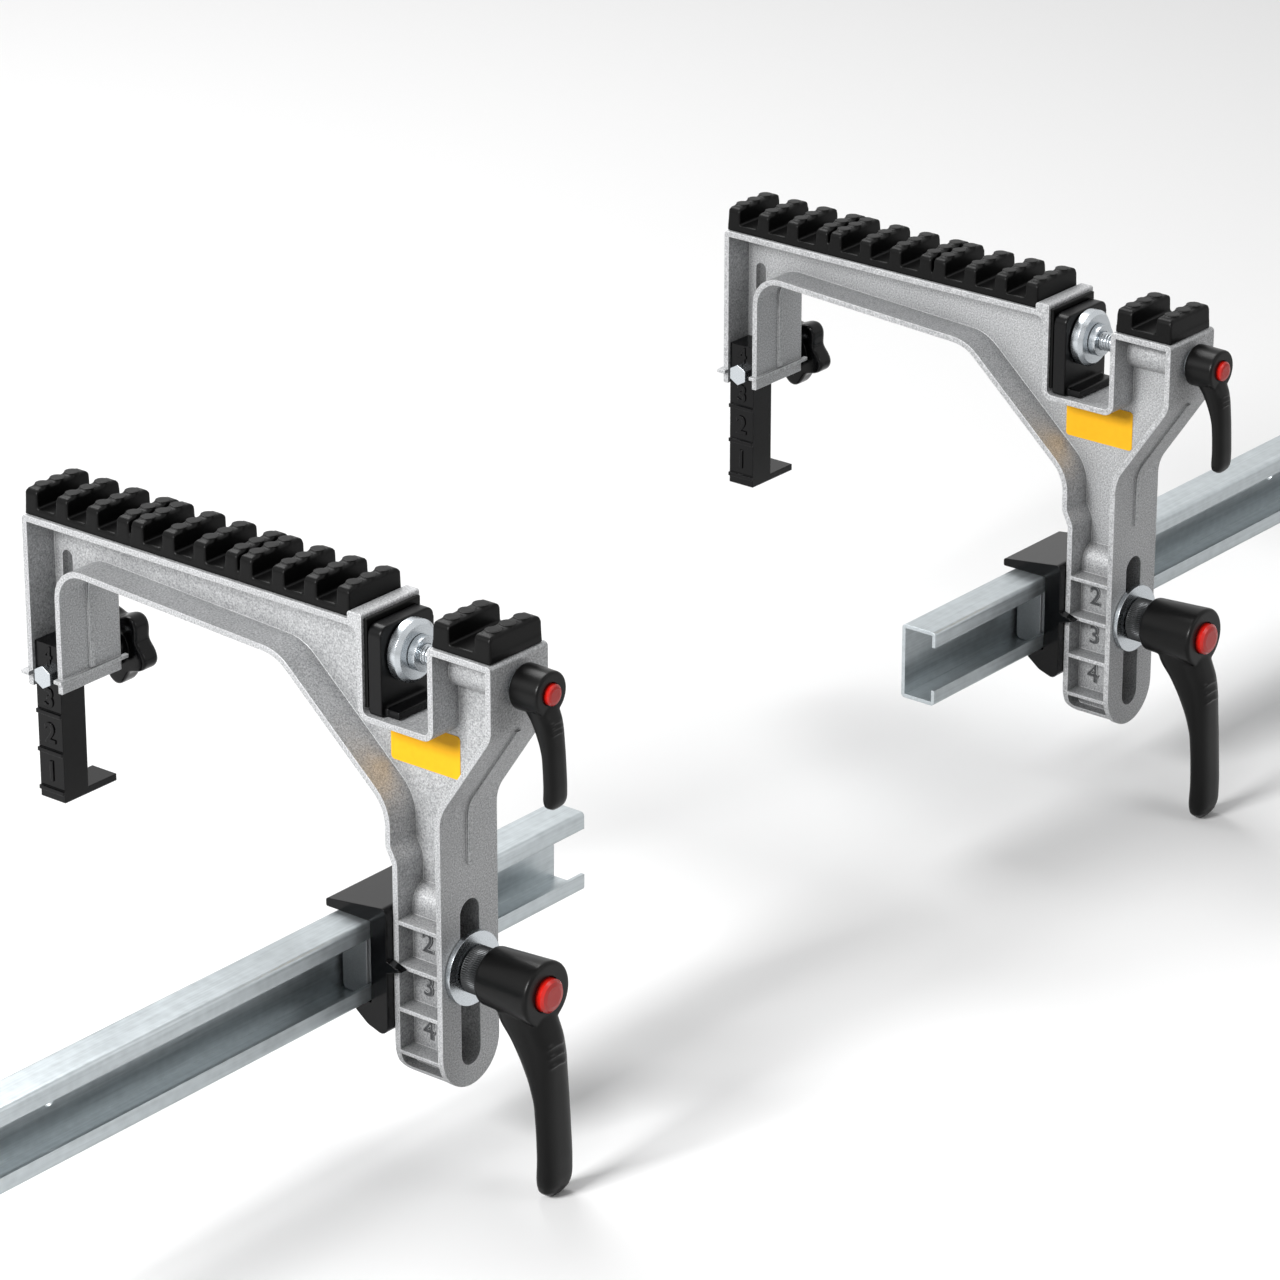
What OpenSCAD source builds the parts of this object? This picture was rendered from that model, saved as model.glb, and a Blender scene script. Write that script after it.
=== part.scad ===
// Ski vise: two holding stations on two C rails that are screwed to the front edge of a bench.
// Millimetres. X runs along the rails, Y back over the bench, Z up.
// The origin is on the back face of the left rail, at its mid height, under the left station.

/* [Rails] */
// Height of the C rail
rail_h = 41; // [36:0.5:46]
// Depth of the rail from its back to its lips
rail_d = 21; // [19:0.5:26]
// Wall of the rail
rail_t = 2; // [1.5:0.25:2.5]
// Height of each lip
rail_lip = 8.5; // [6:0.5:9]
// Length of each rail
rail_len = 450; // [420:5:520]
// Right-hand end of the left rail, from the left station
left_rail_end = 130; // [126:1:170]
// Left-hand end of the right rail, from the right station
right_rail_reach = 123; // [102:1:140]
// Diameter of the screw holes in the back of a rail
screw_hole_d = 6.5; // [5:0.5:8]
// Distance of the screw holes from the outer end of a rail
screw_hole_inset = 40; // [20:1:60]
// Distance between the two screw holes
screw_hole_pitch = 64; // [50:1:80]

/* [Stations] */
// Distance from the left station to the right one
station_pitch = 538; // [480:1:600]
// Gap between parts that slide on each other
slide_gap = 0.3; // [0.2:0.05:0.5]
// Radial gap of parts that turn in each other
run_gap = 0.1; // [0.05:0.05:0.2]

/* [Frame casting] */
// Width of the casting over its flanges
frame_w = 40; // [38:0.5:44]
// Thickness of the flanges
flange_t = 3; // [2.5:0.25:3.5]
// Thickness of the web
web_t = 4; // [3:0.5:5]
// Height of the arm's top above the bench
arm_top = 145; // [141:0.5:150]
// Depth of the arm at its front end
arm_depth = 29; // [26:0.5:32]
// Rear face of the leg, measured back from the rail
leg_back = 198.6; // [180:1:220]
// Height of the leg's lower end above the bench
leg_bottom = 58; // [54:0.5:62]
// Inner radius of the arch where the arm meets the leg
arch_r = 14; // [8:1:20]
// Rise of the arch from the front to the leg
arch_rise = 6; // [0:0.5:8]
// Front-to-back depth of the stem
stem_d = 29; // [26:0.5:34]
// Height at which the stem starts to widen
stem_top = 62; // [56:0.5:68]
// Lower end of the stem's front plate below the bench top
stem_drop = 81; // [78:0.5:86]
// Drop of the bend under the tower below the spindle's axis
kink_drop = 21; // [17:0.5:25]

/* [Jaw opening] */
// Fixed jaw face, measured forward from the rail's back
jaw_y = 15; // [13:0.5:18]
// Thickness of the fixed jaw
stop_t = 8.4; // [7:0.2:10]
// Rise of the fixed jaw above the arm
stop_rise = 4; // [2:0.5:6]
// Width of the opening between the fixed jaw and the tower
well_w = 39; // [38:0.5:44]
// Drop of the opening's floor below the spindle's axis
well_drop = 29; // [27:0.5:31]
// Depth of the tower from back to front
tower_d = 37; // [34:0.5:42]
// Drop of the tower's top below the arm's top
tower_drop = 2; // [0:0.5:4]
// Drop of the spindle's axis below the tower's top
spindle_drop = 14; // [12:0.5:16]
// Diameter of the boss round the spindle
boss_d = 18; // [16:0.5:24]

/* [Height slot and scale] */
// Width of the height slot
slot_w = 13.6; // [13.2:0.2:15]
// Upper end of the slot above the bench top
slot_top = 14; // [10:0.5:18]
// Lower end of the slot below the bench top
slot_drop = 70.5; // [68:0.5:72]
// Wall of the core round the slot
core_wall = 3; // [2.5:0.25:4]
// Distance from one scale ridge to the next on the stem
stem_index = 22; // [20:0.5:24]
// Height of a scale ridge
ridge_t = 2; // [1.5:0.25:3]

/* [Rubber pads] */
// Number of pads on the arm
pad_count = 3; // [2:1:4]
// Number of teeth on a pad
pad_teeth = 4; // [3:1:5]
// Gap between neighbouring pads
pad_gap = 0.8; // [0.5:0.1:1.5]
// Width of the pads
pad_w = 36.5; // [34:0.5:38]
// Thickness of a pad under its teeth
pad_base = 4; // [3:0.5:5]
// Height of a tooth
tooth_h = 9.2; // [7:0.2:11]
// Length of a tooth at its foot
tooth_l = 8.4; // [7:0.2:10]
// Length of a tooth of the front pad
front_tooth_l = 10; // [8:0.5:12]
// Diameter of the round studs on a tooth
stud_d = 8; // [6:0.5:9]
// Height of the round studs
stud_h = 0.8; // [0.5:0.1:1.2]

/* [Jaw] */
// Thickness of the liner on the fixed jaw
liner_t = 2; // [1.5:0.25:3]
// Thickness of the moving jaw
jaw_t = 7.7; // [6.5:0.1:9]
// Height of the moving jaw
jaw_h = 44; // [40:0.5:46]
// Width of the moving jaw
jaw_w = 37; // [34:0.5:39]
// Diameter of the pressure disc
disc_d = 30; // [26:0.5:31]
// Thickness of the pressure disc
disc_t = 7; // [5:0.5:7]
// Diameter of the spindle's collar
collar_d = 17; // [14:0.5:20]
// Thickness of the spindle's collar
collar_t = 4; // [3:0.5:5]
// Outer diameter of the spindle
spindle_d = 10; // [9:0.5:11]

/* [Rail clamp] */
// Length of the bracket and of the rail nut along the rail
clamp_w = 50; // [46:1:56]
// Thickness of the bracket
bracket_t = 9.4; // [8:0.2:11]
// Reach of the bracket's wing behind its back face
wing_reach = 27; // [20:1:32]
// Rise of the bracket above the rail
bracket_rise = 9; // [7:0.5:10]
// Drop of the bracket below the rail
bracket_fall = 16; // [13:0.5:18]
// Diameter of the clamp stud
clamp_d = 12; // [10:0.5:12]
// Depth of the rail nut
nut_d = 14.8; // [12:0.2:15]
// Diameter of the clamp washer
washer_d = 36; // [32:0.5:38]
// Thickness of the clamp washer
washer_t = 2.5; // [2:0.25:3]

/* [Big clamping lever] */
// Length of its hub
big_hub_l = 33; // [30:0.5:36]
// Diameter of its hub at the back
big_back_d = 27; // [25:0.5:29]
// Diameter of its hub at the face
big_face_d = 30; // [28:0.5:32]
// Length of its arm from the axis
big_arm_l = 101; // [90:1:110]
// Width of its arm
big_arm_w = 19; // [16:0.5:22]
// Thickness of its arm
big_arm_t = 10.5; // [9:0.5:12]
// Length of its insert outside the hub
big_collar_l = 10; // [8:0.5:12]
// Diameter of its insert outside the hub
big_collar_d = 23; // [21:0.5:24]

/* [Small clamping lever] */
// Length of its hub
small_hub_l = 16.4; // [15.5:0.1:18]
// Diameter of its hub at the back
small_back_d = 20.5; // [19:0.5:22]
// Diameter of its hub at the face
small_face_d = 19.4; // [18:0.2:21]
// Length of its arm from the axis
small_arm_l = 55; // [50:1:62]
// Width of its arm
small_arm_w = 12; // [10:0.5:14]
// Thickness of its arm
small_arm_t = 6.4; // [5:0.2:8]
// Length of its insert outside the hub
small_collar_l = 2; // [1:0.5:3]
// Diameter of its insert outside the hub
small_collar_d = 16; // [14.5:0.5:18]

/* [Back foot] */
// Side of the square foot column
foot_w = 16; // [14:0.5:17]
// Length of the foot column
foot_h = 81; // [78:0.5:82]
// Distance from one scale ridge to the next on the column
foot_index = 20; // [18:0.5:21]
// Reach of the foot plate past the web
foot_reach = 17; // [12:0.5:24]
// Thickness of the foot plate
foot_t = 3.5; // [3:0.25:5]
// Height of the foot bolt above the bench
foot_bolt_h = 65; // [64:0.5:66]
// Diameter of the foot bolt
foot_bolt_d = 6; // [5:0.5:6]
// Upward travel of the foot
foot_travel = 50; // [40:1:54]
// Spare length of the foot's slot above that travel
foot_slot_spare = 9; // [4:0.5:9]
// Diameter of the star knob over its lobes
knob_d = 40; // [36:0.5:44]
// Thickness of the star knob
knob_t = 17; // [14:0.5:20]

/* [Hidden] */
NODES = [for (side = ["left", "right"]) for (name = [
    "frame", "comb_pads", "front_pad", "jaw_liner", "moving_jaw", "pressure_disc", "spindle_collar",
    "jaw_spindle", "jaw_insert", "jaw_lever", "jaw_spring", "jaw_screw", "jaw_button",
    "rail_bracket", "rail_nut", "clamp_stud", "clamp_washer", "clamp_insert", "clamp_lever",
    "clamp_spring", "clamp_screw", "clamp_button", "foot_column", "foot_bolt", "foot_washer",
    "foot_knob", "rail"]) str(side, "_", name)];
node = "all";

bench_z = rail_h / 2;                                  // bench top, flush with the rail's top
stem_back = -(rail_d + bracket_t + 2 * slide_gap);     // rear face of the stem
stem_front = stem_back - stem_d;
stem_floor = (slot_drop + stem_drop) / 2;              // lower end of the stem's sides
shoulder_out = 4;                                      // step of the stem's back above the bracket
shoulder_h = 30;
arm_bottom = arm_top - arm_depth;
tower_top = arm_top - tower_drop;
spindle_h = tower_top - spindle_drop;                  // height of the spindle's axis above the bench
well_floor = spindle_h - well_drop;
well_round = 3;                                        // radius in the corners of the opening
kink_h = spindle_h - kink_drop;
arm_front = 38;                                        // where the arm runs into the diagonal
leg_gap = foot_w + 2 * slide_gap;
leg_front = leg_back - 2 * flange_t - leg_gap;
leg_mid = leg_back - flange_t - leg_gap / 2;
jaw_face = -jaw_y;
tower_back = jaw_face - well_w;
tower_front = tower_back - tower_d;
bead_w = 3;                                            // raised beads on the flanges
bead_t = 1.2;
bead_lift = 18;                                        // from the slot up to the front bead
mark_out = 3;                                          // ridge round the leg that marks the height
mark_t = 1.8;
mark_lip = 2;
arc_steps = 6;                                         // points on a rounded corner

pads_front = jaw_face + stop_t + slide_gap;
pad_l = (leg_back - 0.5 - pads_front - (pad_count - 1) * pad_gap) / pad_count;
tooth_taper = 0.5;
pad_round = 3;
front_pad_l = tower_d - 3;

jaw_back = jaw_face - liner_t - slide_gap;
jaw_front = jaw_back - jaw_t;
jaw_foot = well_floor + slide_gap;
ledge_d = 8;                                           // ledge along the foot of the moving jaw
ledge_h = 4;
disc_front = jaw_front - disc_t;
tip_d = 7;                                             // spindle tip that turns in the disc
tip_l = 4;
fit_gap = 0.05;                                        // radial gap of parts that are fixed together

bracket_back = -rail_d - slide_gap;
bracket_front = bracket_back - bracket_t;
nut_front = -(rail_d - rail_t) + slide_gap;
nut_h = rail_h - 2 * (rail_t + slide_gap);
neck_h = rail_h - 2 * (rail_lip + slide_gap);
washer_back = stem_front - slide_gap;
washer_front = washer_back - washer_t;

// Inside of the levers: core of the insert, retaining screw and button
big_core_d = 16;
big_core_l = 14;
big_screw_d = 5;
big_button_d = 16.4;
small_core_d = 12.4;
small_core_l = 6;
small_screw_d = 4;
small_button_d = 10.2;
// A lever's sizes, read by the functions below
big_lever = [big_hub_l, big_back_d, big_face_d, big_arm_l, big_arm_w, big_arm_t,
             big_collar_l, big_collar_d, big_core_d, big_core_l, big_screw_d, big_button_d];
small_lever = [small_hub_l, small_back_d, small_face_d, small_arm_l, small_arm_w, small_arm_t,
               small_collar_l, small_collar_d, small_core_d, small_core_l, small_screw_d, small_button_d];
function hub_l(v) = v[0];
function hub_back_d(v) = v[1];
function hub_face_d(v) = v[2];
function arm_l(v) = v[3];
function arm_w(v) = v[4];
function arm_t(v) = v[5];
function collar_l(v) = v[6];
function insert_d(v) = v[7];
function core_d(v) = v[8];
function core_l(v) = v[9];
function screw_d(v) = v[10];
function button_d(v) = v[11];
function shoulder_t(v) = 0.13 * core_d(v);             // web in the hub that the spring pushes on
function head_d(v) = 1.8 * screw_d(v);
function head_l(v) = 0.45 * screw_d(v);
function chamber_d(v) = head_d(v) + 1;
function button_l(v) = 0.5 * button_d(v);
function button_out(v) = 0.24 * button_d(v);           // how far the button stands out
function button_travel(v) = 0.15 * button_d(v);
function spring_l(v) = hub_l(v) - core_l(v) - shoulder_t(v) - head_l(v)
    - (button_l(v) - button_out(v)) - button_travel(v) - 2 * slide_gap;
function spring_at(v) = core_l(v) + shoulder_t(v) + 2 * fit_gap;

star_lobes = 5;
lobe_h = 2.6;                                          // how far a lobe stands out from the mean
neck_d = 20;
neck_l = 5.5;
foot_x = -(web_t / 2 + slide_gap);                     // face of the column that slides on the web
foot_washer_t = 1.5;
knob_x = frame_w / 2 + foot_washer_t + 2 * slide_gap;

// Points along a rounded corner at b, between a and c
function unit(v) = v / norm(v);
function corner(a, b, c, r) =
    let (d1 = unit(b - a), d2 = unit(c - b), side = sign(cross(d1, d2)),
         turn = acos(max(-1, min(1, d1 * d2))), reach = r * tan(turn / 2),
         start = b - d1 * reach, centre = start + side * r * [-d1.y, d1.x],
         arm = start - centre, at = atan2(arm.y, arm.x))
    r <= 0.01 || turn < 1 ? [b]
    : [for (k = [0:arc_steps]) centre + r * [cos(at + side * turn * k / arc_steps),
                                             sin(at + side * turn * k / arc_steps)]];
// Closed outline with a radius at each corner, from [x, y, radius] going anticlockwise
function rounded(p) = let (n = len(p)) [for (i = [0:n - 1])
    each corner([p[(i + n - 1) % n].x, p[(i + n - 1) % n].y], [p[i].x, p[i].y],
                [p[(i + 1) % n].x, p[(i + 1) % n].y], p[i].z)];
// The same outline moved inwards by t, its radii following
function inset(p, t) = let (n = len(p)) [for (i = [0:n - 1])
    let (b = [p[i].x, p[i].y],
         d1 = unit(b - [p[(i + n - 1) % n].x, p[(i + n - 1) % n].y]),
         d2 = unit([p[(i + 1) % n].x, p[(i + 1) % n].y] - b),
         n1 = [-d1.y, d1.x], n2 = [-d2.y, d2.x], q = b + t * (n1 + n2) / (1 + n1 * n2))
    [q.x, q.y, max(0.2, p[i].z - sign(cross(d1, d2)) * t)]];

// Outline in [y, height] extruded along X, centred
module from_side(w) { rotate([90, 0, 90]) linear_extrude(w, center = true) children(); }
// Outline in [x, height] extruded forwards from y0
module from_front(y0, d) { translate([0, y0, 0]) rotate([90, 0, 0]) linear_extrude(d) children(); }
// Outline in [y, height] extruded along X from x0 to x1
module between_x(x0, x1) { translate([(x0 + x1) / 2, 0, 0]) from_side(x1 - x0) children(); }
// Cylinder along Y from y0 forwards
module along_y(d, y0, l, z = 0) {
    translate([0, y0, z]) rotate([90, 0, 0]) cylinder(d = d, h = l, $fn = 48);
}
// Cylinder along X from x0
module along_x(d, x0, l) { translate([x0, 0, 0]) rotate([0, 90, 0]) cylinder(d = d, h = l, $fn = 48); }
module above_bench() { translate([0, 0, bench_z]) children(); }
// Upright slot of width w between two heights
module slot_outline(w, bottom, top) {
    translate([-w / 2, bottom + w / 2]) square([w, top - bottom - w]);
    for (h = [bottom + w / 2, top - w / 2]) translate([0, h]) circle(d = w, $fn = 48);
}

// Frame casting
frame_rest = [
    [jaw_face, well_floor, well_round], [tower_back, well_floor, well_round], [tower_back, tower_top, 1.5],
    [tower_front, tower_top, 2], [tower_front, kink_h, 14], [stem_front, stem_top, 22],
    [stem_front, -stem_floor, 0.8], [stem_back, -stem_floor, 6], [stem_back, shoulder_h, 5],
    [stem_back + shoulder_out, shoulder_h + 8, 5], [stem_back + shoulder_out, stem_top - 5, 20],
    [arm_front, arm_bottom - 1, 22], [leg_front, arm_bottom + arch_rise, arch_r],
    [leg_front, leg_bottom, 0.8], [leg_back, leg_bottom, 0.8]];
frame_outline = concat([[leg_back, arm_top, 2], [jaw_face + stop_t, arm_top, 0.8],
    [jaw_face + stop_t, arm_top + stop_rise, 1.2], [jaw_face, arm_top + stop_rise, 1.2]], frame_rest);
pocket_outline = concat([[leg_back, arm_top, 2], [jaw_face, arm_top, 8]], frame_rest);

// What the casting shows from the front: straight sides and a round lower end
module front_outline() {
    translate([-frame_w / 2, frame_w / 2 - stem_drop]) square([frame_w, stem_drop + arm_top + 10]);
    translate([0, frame_w / 2 - stem_drop]) circle(d = frame_w, $fn = 96);
}

module frame_flanges() {
    from_side(frame_w) difference() {
        polygon(rounded(frame_outline));
        polygon(rounded(inset(pocket_outline, flange_t)));
        translate([leg_front + flange_t, leg_bottom - 1]) square([leg_gap, flange_t + 2]);
    }
    from_side(web_t) polygon(rounded(frame_outline));
    // Front plate of the stem, down to its round end
    from_front(stem_front + flange_t, flange_t) intersection() {
        front_outline();
        translate([-frame_w / 2, -stem_drop]) square([frame_w, stem_drop]);
    }
}

module slot_core() {
    core_w = slot_w + 2 * core_wall;
    from_front(stem_back, stem_d) {
        translate([0, slot_top - slot_w / 2]) circle(d = core_w, $fn = 64);
        translate([-core_w / 2, -stem_floor]) square([core_w, stem_floor + slot_top - slot_w / 2]);
    }
    // Scale ridges between the flanges
    for (k = [-2:1]) translate([-frame_w / 2, stem_front, k * stem_index - bench_z - ridge_t / 2])
        cube([frame_w, stem_d, ridge_t]);
}

module frame_beads() {
    module bead(y0, y1, h0, h1) {
        from_side(bead_w) intersection() {
            polygon(rounded(inset(frame_outline, -bead_t)));
            translate([y0, h0]) square([y1 - y0, h1 - h0]);
        }
    }
    bead(tower_front - 2 * bead_t, stem_front + flange_t, slot_top + bead_lift, kink_h - 2);
    bead(leg_front - 2 * bead_t, leg_front + flange_t / 2, foot_bolt_h + mark_t, arm_bottom);
    // Ridge across the leg's front and back, with points that stand out from the flange edges
    for (y = [leg_front - mark_lip, leg_back])
        translate([-frame_w / 2 - mark_out, y, foot_bolt_h - mark_t / 2])
            cube([frame_w + 2 * mark_out, mark_lip, mark_t]);
    for (y = [leg_front - mark_lip, leg_back - flange_t])
        translate([-frame_w / 2 - mark_out, y, foot_bolt_h - mark_t / 2])
            cube([mark_out + 1, flange_t + mark_lip, mark_t]);
}

module frame_casting() color("silver") above_bench() difference() {
    union() {
        intersection() {
            union() {
                frame_flanges();
                slot_core();
            }
            from_front(leg_back + 1, leg_back - tower_front + 2) front_outline();
        }
        frame_beads();
        along_y(boss_d, tower_back - flange_t / 2, tower_d - flange_t, spindle_h);
    }
    from_front(stem_back + 1, stem_d + 2) slot_outline(slot_w, -slot_drop, slot_top);
    along_y(spindle_d + 2 * run_gap, tower_back + 1, tower_d + 2, spindle_h);
    translate([0, leg_mid, 0]) from_side(web_t + 2)
        slot_outline(foot_bolt_d + 2 * slide_gap, foot_bolt_h - foot_bolt_d / 2 - slide_gap,
                     foot_bolt_h + foot_travel + foot_slot_spare);
}

// Rubber pad with teeth across it, from y0 forwards
module toothed_pad(y0, l, teeth, tooth) {
    step = teeth > 1 ? (l - tooth) / (teeth - 1) : 0;
    top = pad_base + tooth_h;
    intersection() {
        from_side(pad_w) {
            translate([y0 - l, 0]) square([l, pad_base]);
            for (k = [0:teeth - 1]) translate([y0 - l + k * step, 0])
                polygon(rounded([[0, 0, 0], [tooth, 0, 0], [tooth - tooth_taper, top, 1.2],
                                 [tooth_taper, top, 1.2]]));
        }
        from_front(y0, l) polygon(rounded([[-pad_w / 2, 0, 0], [pad_w / 2, 0, 0],
            [pad_w / 2 - 0.6, top, pad_round], [-pad_w / 2 + 0.6, top, pad_round]]));
    }
    for (k = [0:teeth - 1], x = [-1:1])
        translate([x * pad_w * 0.27, y0 - l + k * step + tooth / 2, top - 0.5])
            cylinder(d = min(stud_d, tooth - 2 * tooth_taper), h = stud_h + 0.5, $fn = 32);
}

module comb_pads() color("dimgray") above_bench() translate([0, 0, arm_top])
    for (k = [0:pad_count - 1])
        toothed_pad(pads_front + pad_l + k * (pad_l + pad_gap), pad_l, pad_teeth, tooth_l);

module front_pad() color("dimgray") above_bench() translate([0, 0, tower_top])
    toothed_pad(tower_back - (tower_d - front_pad_l) / 2, front_pad_l, 2, front_tooth_l);

// Jaw
module jaw_liner() color("black") above_bench()
    from_front(jaw_face, liner_t) translate([-jaw_w / 2, well_floor + well_round + slide_gap])
        square([jaw_w, arm_top + stop_rise - 2 - well_floor - well_round - slide_gap]);

module moving_jaw() color("black") above_bench() difference() {
    union() {
        from_front(jaw_back, jaw_t) translate([0, jaw_foot]) polygon(rounded([
            [-jaw_w / 2, 0, 1.5], [jaw_w / 2, 0, 1.5], [jaw_w / 2, jaw_h, 5], [-jaw_w / 2, jaw_h, 5]]));
        translate([-jaw_w / 2 + 3, jaw_front - ledge_d, jaw_foot]) cube([jaw_w - 6, ledge_d, ledge_h]);
    }
    along_y(tip_d + 4, jaw_front + 2, 3, spindle_h);
}

module pressure_disc() color("lightgray") above_bench() difference() {
    translate([0, jaw_front, spindle_h]) rotate([90, 0, 0]) rotate_extrude($fn = 96)
        polygon([[0, 0], [disc_d / 2 - 0.8, 0], [disc_d / 2, 0.8], [disc_d / 2, disc_t - 2],
                 [disc_d / 2 - 2, disc_t], [0, disc_t]]);
    along_y(tip_d + 2 * run_gap, disc_front + tip_l + slide_gap, tip_l + 1, spindle_h);
}

module spindle_collar() color("gray") above_bench() difference() {
    along_y(collar_d, disc_front - slide_gap, collar_t, spindle_h);
    along_y(spindle_d + 2 * fit_gap, disc_front + 1, collar_t + 3, spindle_h);
}

module jaw_spindle() color("lightgray") above_bench() {
    hub = tower_front - slide_gap - collar_l(small_lever);
    along_y(spindle_d, disc_front - slide_gap, disc_front - slide_gap - hub + core_l(small_lever) / 2,
            spindle_h);
    along_y(tip_d, disc_front + tip_l, tip_l + 1, spindle_h);
}

// Clamping levers, drawn with the back of the hub at y = 0 and the arm hanging down
// Arm rings: place as a share of the arm's length, middle as a share of the hub's length,
// how much of the neck's depth is left, and size
arm_rings = [[0.02, 0.58, 1, 1], [0.1, 0.6, 1, 1], [0.165, 0.7, 1, 1], [0.22, 0.79, 0.96, 1],
    [0.32, 0.91, 0.7, 1], [0.42, 1.01, 0.3, 1], [0.52, 1.06, 0.04, 1], [0.66, 1.09, 0, 1],
    [0.8, 1.11, 0.02, 1], [0.92, 1.1, 0.06, 1], [0.97, 1.085, 0.02, 0.84], [1, 1.08, 0, 0.4]];
neck_depth = 0.39;                                     // half depth of the neck, share of the hub's length
neck_flare = 0.17;                                     // extra width of the neck
ring_sides = 24;
module lever_arm(v) {
    function bow(a) = sign(a) * pow(abs(a), 0.7);     // squarer than an ellipse
    function half_w(r) = r[3] * arm_w(v) / 2 * (1 + neck_flare * r[2]);
    function half_t(r) = r[3] * (r[2] * neck_depth * hub_l(v) + (1 - r[2]) * arm_t(v) / 2);
    points = [for (r = arm_rings, k = [0:ring_sides - 1]) let (a = 360 * k / ring_sides)
        [half_w(r) * bow(cos(a)), -hub_l(v) * r[1] + half_t(r) * bow(sin(a)), -arm_l(v) * r[0]]];
    last = len(arm_rings) - 1;
    sides = [for (i = [0:last - 1], k = [0:ring_sides - 1])
        let (n = (k + 1) % ring_sides, a = i * ring_sides, b = a + ring_sides)
        each [[a + k, a + n, b + n], [a + k, b + n, b + k]]];
    caps = [[for (k = [ring_sides - 1:-1:0]) k], [for (k = [0:ring_sides - 1]) last * ring_sides + k]];
    polyhedron(points, concat(sides, caps));
}

module lever(v) difference() {
    recess = button_l(v) - button_out(v) + button_travel(v);
    union() {
        rotate([90, 0, 0]) cylinder(d1 = hub_back_d(v), d2 = hub_face_d(v), h = hub_l(v), $fn = 64);
        lever_arm(v);
    }
    along_y(core_d(v) + 2 * fit_gap, 1, core_l(v) + fit_gap + 1);
    along_y(screw_d(v) + 2 * run_gap, 0, hub_l(v));
    along_y(chamber_d(v), -spring_at(v), hub_l(v));
    along_y(button_d(v) + 2 * run_gap, recess - hub_l(v), hub_l(v));
}

module insert(v, bore) difference() {
    union() {
        along_y(insert_d(v), collar_l(v), collar_l(v) - fit_gap);
        along_y(core_d(v), collar_l(v) / 2, collar_l(v) / 2 + core_l(v));
    }
    along_y(bore + 2 * fit_gap, collar_l(v) + 1, collar_l(v) + core_l(v) / 2 + 1 + fit_gap);
    along_y(screw_d(v), -core_l(v) / 2, core_l(v));
}

module lever_spring(v) difference() {
    along_y(chamber_d(v) - 0.6, -spring_at(v), spring_l(v));
    along_y(screw_d(v) + 1, -spring_at(v) + 1, spring_l(v) + 2);
}

module lever_screw(v) difference() {
    shank_at = core_l(v) / 2 + 1;
    head_at = spring_at(v) + spring_l(v) + fit_gap;
    union() {
        along_y(screw_d(v) - 2 * fit_gap, -shank_at, head_at - shank_at);
        along_y(head_d(v), -head_at, head_l(v));
    }
    translate([0, -head_at - head_l(v) / 2, 0]) rotate([90, 0, 0])
        cylinder(d = screw_d(v), h = head_l(v), $fn = 6);
}

module lever_button(v) {
    d = button_d(v);
    l = button_l(v);
    translate([0, l - button_out(v) - hub_l(v), 0]) rotate([90, 0, 0]) rotate_extrude($fn = 64) polygon([
        [0, 0], [d / 2, 0], [d / 2, l - 0.1 * d], [0.42 * d, l - 0.03 * d], [0.3 * d, l], [0, l]]);
}

module at_jaw_hub() above_bench()
    translate([0, tower_front - slide_gap - collar_l(small_lever), spindle_h]) children();
module jaw_insert() color("gray") at_jaw_hub() insert(small_lever, spindle_d);
module jaw_lever() color("black") at_jaw_hub() lever(small_lever);
module jaw_spring() color("gray") at_jaw_hub() lever_spring(small_lever);
module jaw_screw() color("gray") at_jaw_hub() lever_screw(small_lever);
module jaw_button() color("red") at_jaw_hub() lever_button(small_lever);

module at_clamp_hub() translate([0, washer_front - slide_gap - collar_l(big_lever), 0]) children();
module clamp_insert() color("gray") at_clamp_hub() insert(big_lever, clamp_d);
module clamp_lever() color("black") at_clamp_hub() lever(big_lever);
module clamp_spring() color("gray") at_clamp_hub() lever_spring(big_lever);
module clamp_screw() color("gray") at_clamp_hub() lever_screw(big_lever);
module clamp_button() color("red") at_clamp_hub() lever_button(big_lever);

// Clamp on the rail
module rail_bracket() color("black") difference() {
    union() {
        from_side(clamp_w) polygon(rounded([
            [bracket_back + wing_reach, bench_z + slide_gap + 4, 1.2],
            [bracket_front, bench_z + bracket_rise, 2.5],
            [bracket_front, -bench_z - bracket_fall, 4],
            [bracket_front + 0.62 * (bracket_t + 10), -bench_z - 0.75 * bracket_fall, 8],
            [bracket_back + 10, -bench_z - 0.4 * bracket_fall, 1.5],
            [bracket_back + 10, -bench_z - slide_gap, 0.8],
            [bracket_back, -bench_z - slide_gap, 0.5],
            [bracket_back, bench_z + slide_gap, 0.5],
            [bracket_back + wing_reach, bench_z + slide_gap, 0.8]]));
        // Pointers to the scale on the stem, and small teeth behind them
        for (s = [-1, 1]) between_x(s > 0 ? frame_w / 2 + 2 * slide_gap : -clamp_w / 2,
                                    s > 0 ? clamp_w / 2 : -frame_w / 2 - 2 * slide_gap)
            polygon([[bracket_back - 1, -3], [bracket_back - 1, 3], [bracket_front, 3],
                     [bracket_front - 9, 0], [bracket_front, -3]]);
    }
    along_y(clamp_d + 2 * slide_gap, bracket_back + 1, bracket_t + 2);
}

module rail_nut() color("darkgray") difference() {
    union() {
        from_side(clamp_w) polygon(rounded([
            [nut_front + nut_d, -nut_h / 2, 2.5], [nut_front + nut_d, nut_h / 2, 2.5],
            [nut_front, nut_h / 2, 0.5], [nut_front, -nut_h / 2, 0.5]]));
        translate([-clamp_w / 2 + 2, bracket_back, -neck_h / 2])
            cube([clamp_w - 4, nut_front - bracket_back + 1, neck_h]);
    }
    along_y(clamp_d + 2 * fit_gap, nut_front + nut_d - 2, nut_d + rail_t + 2);
}

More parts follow.
